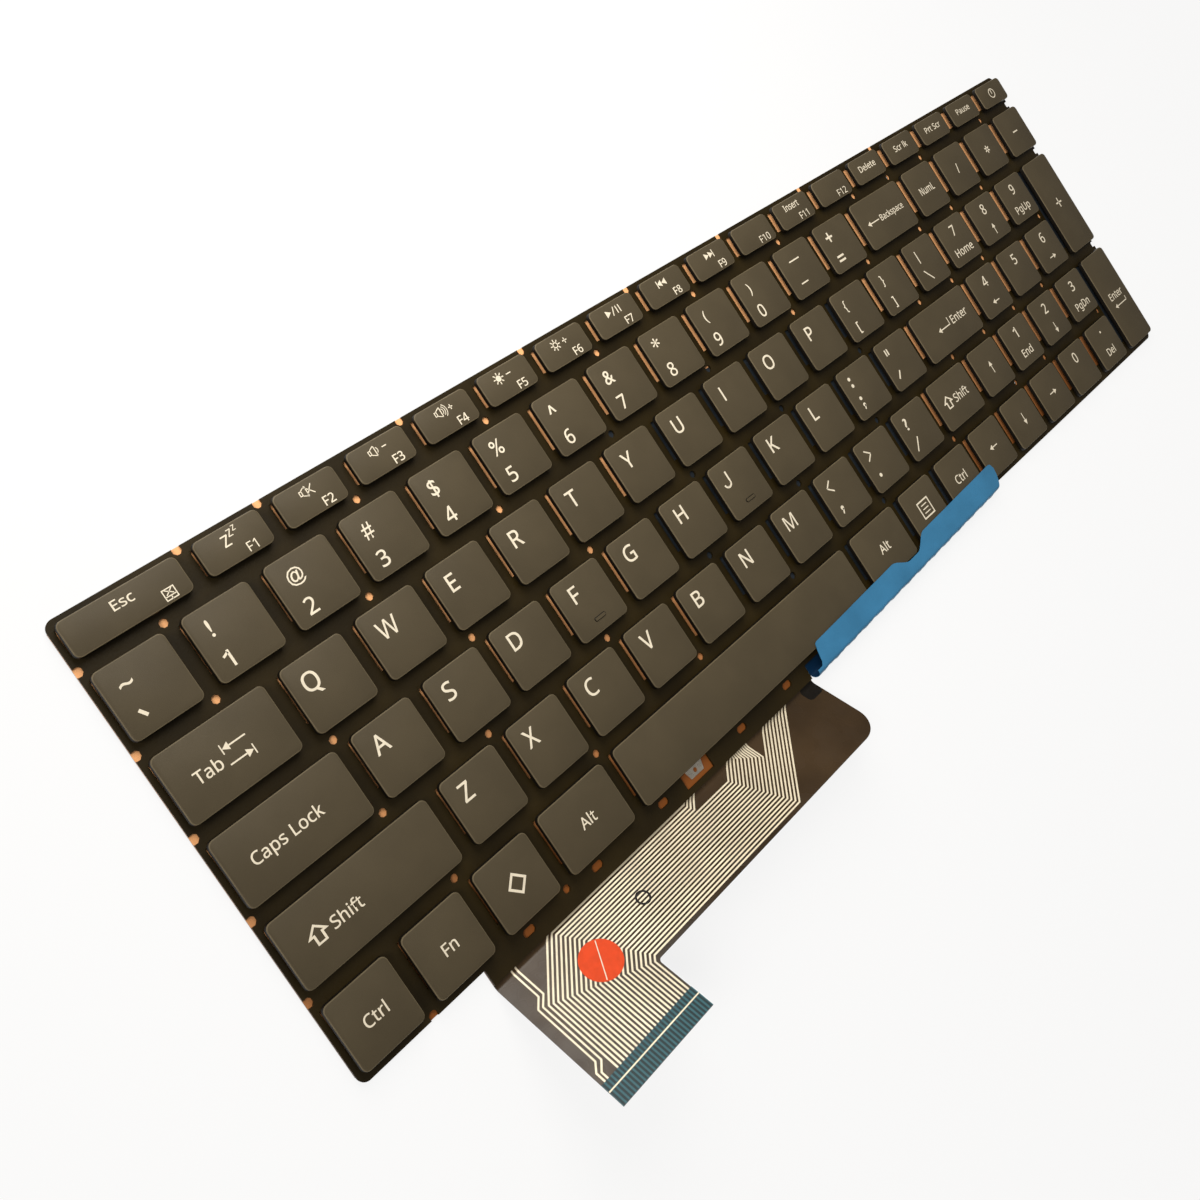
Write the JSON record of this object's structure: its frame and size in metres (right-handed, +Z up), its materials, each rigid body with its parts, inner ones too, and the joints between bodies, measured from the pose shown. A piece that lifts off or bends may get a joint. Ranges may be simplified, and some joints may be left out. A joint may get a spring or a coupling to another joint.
{
  "type": "laptop replacement keyboard",
  "caption": "Frameless notebook keyboard: rows of floating keycaps over a thin windowed plate, with circuit films, a raised flat connector tail and a folded liner.",
  "frame": {"origin": "middle of the plate on the back face", "axes": "+X along the rows to the number pad, +Y to the function keys, +Z up through the keycaps"},
  "size_m": [0.3502, 0.1342, 0.0228],
  "materials": {
    "keycaps": "fine matte",
    "base_plate": "matt black paint",
    "upper_film": "amber film",
    "lower_film": "smoked film with silver tracks",
    "tail_stiffener": "blue-green film with contacts",
    "tail_sticker": "orange-red paper",
    "earth_tab": "bare metal",
    "liner": "soft blue film",
    "rubber_domes": "moulded rubber",
    "scissor_frames": "moulded"
  },
  "bodies": {
    "chassis": {"base_plate": "base_plate", "upper_film": "upper_film", "lower_film": "lower_film", "tail_stiffener": "tail_stiffener", "tail_sticker": "tail_sticker", "earth_tab": "earth_tab", "liner": "liner", "rubber_domes": "rubber_domes", "scissor_frames": "scissor_frames", "function_keys": "keycaps", "number_keys": "keycaps", "pad_keys": "keycaps", "arrow_keys": "keycaps"},
    "key_tab": {"key_tab": "keycaps"},
    "key_q": {"key_q": "keycaps"},
    "key_w": {"key_w": "keycaps"},
    "key_e": {"key_e": "keycaps"},
    "key_r": {"key_r": "keycaps"},
    "key_t": {"key_t": "keycaps"},
    "key_y": {"key_y": "keycaps"},
    "key_u": {"key_u": "keycaps"},
    "key_i": {"key_i": "keycaps"},
    "key_o": {"key_o": "keycaps"},
    "key_p": {"key_p": "keycaps"},
    "key_bracket_left": {"key_bracket_left": "keycaps"},
    "key_bracket_right": {"key_bracket_right": "keycaps"},
    "key_backslash": {"key_backslash": "keycaps"},
    "key_caps": {"key_caps": "keycaps"},
    "key_a": {"key_a": "keycaps"},
    "key_s": {"key_s": "keycaps"},
    "key_d": {"key_d": "keycaps"},
    "key_f": {"key_f": "keycaps"},
    "key_g": {"key_g": "keycaps"},
    "key_h": {"key_h": "keycaps"},
    "key_j": {"key_j": "keycaps"},
    "key_k": {"key_k": "keycaps"},
    "key_l": {"key_l": "keycaps"},
    "key_semicolon": {"key_semicolon": "keycaps"},
    "key_quote": {"key_quote": "keycaps"},
    "key_enter": {"key_enter": "keycaps"},
    "key_shift_left": {"key_shift_left": "keycaps"},
    "key_z": {"key_z": "keycaps"},
    "key_x": {"key_x": "keycaps"},
    "key_c": {"key_c": "keycaps"},
    "key_v": {"key_v": "keycaps"},
    "key_b": {"key_b": "keycaps"},
    "key_n": {"key_n": "keycaps"},
    "key_m": {"key_m": "keycaps"},
    "key_comma": {"key_comma": "keycaps"},
    "key_period": {"key_period": "keycaps"},
    "key_slash": {"key_slash": "keycaps"},
    "key_shift_right": {"key_shift_right": "keycaps"},
    "key_ctrl_left": {"key_ctrl_left": "keycaps"},
    "key_fn": {"key_fn": "keycaps"},
    "key_system": {"key_system": "keycaps"},
    "key_alt_left": {"key_alt_left": "keycaps"},
    "key_space": {"key_space": "keycaps"},
    "key_alt_right": {"key_alt_right": "keycaps"},
    "key_menu": {"key_menu": "keycaps"},
    "key_ctrl_right": {"key_ctrl_right": "keycaps"}
  },
  "joints": [
    {"name": "press_tab", "type": "slide", "parent": "chassis", "child": "key_tab", "axis": [0, 0, -1], "range_m": [0, 0.001], "stiffness_N_per_m": 300, "deforming": ["rubber_domes", "scissor_frames"]},
    {"name": "press_q", "type": "slide", "parent": "chassis", "child": "key_q", "axis": [0, 0, -1], "range_m": [0, 0.001], "stiffness_N_per_m": 300, "deforming": ["rubber_domes", "scissor_frames"]},
    {"name": "press_w", "type": "slide", "parent": "chassis", "child": "key_w", "axis": [0, 0, -1], "range_m": [0, 0.001], "stiffness_N_per_m": 300, "deforming": ["rubber_domes", "scissor_frames"]},
    {"name": "press_e", "type": "slide", "parent": "chassis", "child": "key_e", "axis": [0, 0, -1], "range_m": [0, 0.001], "stiffness_N_per_m": 300, "deforming": ["rubber_domes", "scissor_frames"]},
    {"name": "press_r", "type": "slide", "parent": "chassis", "child": "key_r", "axis": [0, 0, -1], "range_m": [0, 0.001], "stiffness_N_per_m": 300, "deforming": ["rubber_domes", "scissor_frames"]},
    {"name": "press_t", "type": "slide", "parent": "chassis", "child": "key_t", "axis": [0, 0, -1], "range_m": [0, 0.001], "stiffness_N_per_m": 300, "deforming": ["rubber_domes", "scissor_frames"]},
    {"name": "press_y", "type": "slide", "parent": "chassis", "child": "key_y", "axis": [0, 0, -1], "range_m": [0, 0.001], "stiffness_N_per_m": 300, "deforming": ["rubber_domes", "scissor_frames"]},
    {"name": "press_u", "type": "slide", "parent": "chassis", "child": "key_u", "axis": [0, 0, -1], "range_m": [0, 0.001], "stiffness_N_per_m": 300, "deforming": ["rubber_domes", "scissor_frames"]},
    {"name": "press_i", "type": "slide", "parent": "chassis", "child": "key_i", "axis": [0, 0, -1], "range_m": [0, 0.001], "stiffness_N_per_m": 300, "deforming": ["rubber_domes", "scissor_frames"]},
    {"name": "press_o", "type": "slide", "parent": "chassis", "child": "key_o", "axis": [0, 0, -1], "range_m": [0, 0.001], "stiffness_N_per_m": 300, "deforming": ["rubber_domes", "scissor_frames"]},
    {"name": "press_p", "type": "slide", "parent": "chassis", "child": "key_p", "axis": [0, 0, -1], "range_m": [0, 0.001], "stiffness_N_per_m": 300, "deforming": ["rubber_domes", "scissor_frames"]},
    {"name": "press_bracket_left", "type": "slide", "parent": "chassis", "child": "key_bracket_left", "axis": [0, 0, -1], "range_m": [0, 0.001], "stiffness_N_per_m": 300, "deforming": ["rubber_domes", "scissor_frames"]},
    {"name": "press_bracket_right", "type": "slide", "parent": "chassis", "child": "key_bracket_right", "axis": [0, 0, -1], "range_m": [0, 0.001], "stiffness_N_per_m": 300, "deforming": ["rubber_domes", "scissor_frames"]},
    {"name": "press_backslash", "type": "slide", "parent": "chassis", "child": "key_backslash", "axis": [0, 0, -1], "range_m": [0, 0.001], "stiffness_N_per_m": 300, "deforming": ["rubber_domes", "scissor_frames"]},
    {"name": "press_caps", "type": "slide", "parent": "chassis", "child": "key_caps", "axis": [0, 0, -1], "range_m": [0, 0.001], "stiffness_N_per_m": 300, "deforming": ["rubber_domes", "scissor_frames"]},
    {"name": "press_a", "type": "slide", "parent": "chassis", "child": "key_a", "axis": [0, 0, -1], "range_m": [0, 0.001], "stiffness_N_per_m": 300, "deforming": ["rubber_domes", "scissor_frames"]},
    {"name": "press_s", "type": "slide", "parent": "chassis", "child": "key_s", "axis": [0, 0, -1], "range_m": [0, 0.001], "stiffness_N_per_m": 300, "deforming": ["rubber_domes", "scissor_frames"]},
    {"name": "press_d", "type": "slide", "parent": "chassis", "child": "key_d", "axis": [0, 0, -1], "range_m": [0, 0.001], "stiffness_N_per_m": 300, "deforming": ["rubber_domes", "scissor_frames"]},
    {"name": "press_f", "type": "slide", "parent": "chassis", "child": "key_f", "axis": [0, 0, -1], "range_m": [0, 0.001], "stiffness_N_per_m": 300, "deforming": ["rubber_domes", "scissor_frames"]},
    {"name": "press_g", "type": "slide", "parent": "chassis", "child": "key_g", "axis": [0, 0, -1], "range_m": [0, 0.001], "stiffness_N_per_m": 300, "deforming": ["rubber_domes", "scissor_frames"]},
    {"name": "press_h", "type": "slide", "parent": "chassis", "child": "key_h", "axis": [0, 0, -1], "range_m": [0, 0.001], "stiffness_N_per_m": 300, "deforming": ["rubber_domes", "scissor_frames"]},
    {"name": "press_j", "type": "slide", "parent": "chassis", "child": "key_j", "axis": [0, 0, -1], "range_m": [0, 0.001], "stiffness_N_per_m": 300, "deforming": ["rubber_domes", "scissor_frames"]},
    {"name": "press_k", "type": "slide", "parent": "chassis", "child": "key_k", "axis": [0, 0, -1], "range_m": [0, 0.001], "stiffness_N_per_m": 300, "deforming": ["rubber_domes", "scissor_frames"]},
    {"name": "press_l", "type": "slide", "parent": "chassis", "child": "key_l", "axis": [0, 0, -1], "range_m": [0, 0.001], "stiffness_N_per_m": 300, "deforming": ["rubber_domes", "scissor_frames"]},
    {"name": "press_semicolon", "type": "slide", "parent": "chassis", "child": "key_semicolon", "axis": [0, 0, -1], "range_m": [0, 0.001], "stiffness_N_per_m": 300, "deforming": ["rubber_domes", "scissor_frames"]},
    {"name": "press_quote", "type": "slide", "parent": "chassis", "child": "key_quote", "axis": [0, 0, -1], "range_m": [0, 0.001], "stiffness_N_per_m": 300, "deforming": ["rubber_domes", "scissor_frames"]},
    {"name": "press_enter", "type": "slide", "parent": "chassis", "child": "key_enter", "axis": [0, 0, -1], "range_m": [0, 0.001], "stiffness_N_per_m": 300, "deforming": ["rubber_domes", "scissor_frames"]},
    {"name": "press_shift_left", "type": "slide", "parent": "chassis", "child": "key_shift_left", "axis": [0, 0, -1], "range_m": [0, 0.001], "stiffness_N_per_m": 300, "deforming": ["rubber_domes", "scissor_frames"]},
    {"name": "press_z", "type": "slide", "parent": "chassis", "child": "key_z", "axis": [0, 0, -1], "range_m": [0, 0.001], "stiffness_N_per_m": 300, "deforming": ["rubber_domes", "scissor_frames"]},
    {"name": "press_x", "type": "slide", "parent": "chassis", "child": "key_x", "axis": [0, 0, -1], "range_m": [0, 0.001], "stiffness_N_per_m": 300, "deforming": ["rubber_domes", "scissor_frames"]},
    {"name": "press_c", "type": "slide", "parent": "chassis", "child": "key_c", "axis": [0, 0, -1], "range_m": [0, 0.001], "stiffness_N_per_m": 300, "deforming": ["rubber_domes", "scissor_frames"]},
    {"name": "press_v", "type": "slide", "parent": "chassis", "child": "key_v", "axis": [0, 0, -1], "range_m": [0, 0.001], "stiffness_N_per_m": 300, "deforming": ["rubber_domes", "scissor_frames"]},
    {"name": "press_b", "type": "slide", "parent": "chassis", "child": "key_b", "axis": [0, 0, -1], "range_m": [0, 0.001], "stiffness_N_per_m": 300, "deforming": ["rubber_domes", "scissor_frames"]},
    {"name": "press_n", "type": "slide", "parent": "chassis", "child": "key_n", "axis": [0, 0, -1], "range_m": [0, 0.001], "stiffness_N_per_m": 300, "deforming": ["rubber_domes", "scissor_frames"]},
    {"name": "press_m", "type": "slide", "parent": "chassis", "child": "key_m", "axis": [0, 0, -1], "range_m": [0, 0.001], "stiffness_N_per_m": 300, "deforming": ["rubber_domes", "scissor_frames"]},
    {"name": "press_comma", "type": "slide", "parent": "chassis", "child": "key_comma", "axis": [0, 0, -1], "range_m": [0, 0.001], "stiffness_N_per_m": 300, "deforming": ["rubber_domes", "scissor_frames"]},
    {"name": "press_period", "type": "slide", "parent": "chassis", "child": "key_period", "axis": [0, 0, -1], "range_m": [0, 0.001], "stiffness_N_per_m": 300, "deforming": ["rubber_domes", "scissor_frames"]},
    {"name": "press_slash", "type": "slide", "parent": "chassis", "child": "key_slash", "axis": [0, 0, -1], "range_m": [0, 0.001], "stiffness_N_per_m": 300, "deforming": ["rubber_domes", "scissor_frames"]},
    {"name": "press_shift_right", "type": "slide", "parent": "chassis", "child": "key_shift_right", "axis": [0, 0, -1], "range_m": [0, 0.001], "stiffness_N_per_m": 300, "deforming": ["rubber_domes", "scissor_frames"]},
    {"name": "press_ctrl_left", "type": "slide", "parent": "chassis", "child": "key_ctrl_left", "axis": [0, 0, -1], "range_m": [0, 0.001], "stiffness_N_per_m": 300, "deforming": ["rubber_domes", "scissor_frames"]},
    {"name": "press_fn", "type": "slide", "parent": "chassis", "child": "key_fn", "axis": [0, 0, -1], "range_m": [0, 0.001], "stiffness_N_per_m": 300, "deforming": ["rubber_domes", "scissor_frames"]},
    {"name": "press_system", "type": "slide", "parent": "chassis", "child": "key_system", "axis": [0, 0, -1], "range_m": [0, 0.001], "stiffness_N_per_m": 300, "deforming": ["rubber_domes", "scissor_frames"]},
    {"name": "press_alt_left", "type": "slide", "parent": "chassis", "child": "key_alt_left", "axis": [0, 0, -1], "range_m": [0, 0.001], "stiffness_N_per_m": 300, "deforming": ["rubber_domes", "scissor_frames"]},
    {"name": "press_space", "type": "slide", "parent": "chassis", "child": "key_space", "axis": [0, 0, -1], "range_m": [0, 0.001], "stiffness_N_per_m": 300, "deforming": ["rubber_domes", "scissor_frames"]},
    {"name": "press_alt_right", "type": "slide", "parent": "chassis", "child": "key_alt_right", "axis": [0, 0, -1], "range_m": [0, 0.001], "stiffness_N_per_m": 300, "deforming": ["rubber_domes", "scissor_frames"]},
    {"name": "press_menu", "type": "slide", "parent": "chassis", "child": "key_menu", "axis": [0, 0, -1], "range_m": [0, 0.001], "stiffness_N_per_m": 300, "deforming": ["rubber_domes", "scissor_frames"]},
    {"name": "press_ctrl_right", "type": "slide", "parent": "chassis", "child": "key_ctrl_right", "axis": [0, 0, -1], "range_m": [0, 0.001], "stiffness_N_per_m": 300, "deforming": ["rubber_domes", "scissor_frames"]}
  ]
}
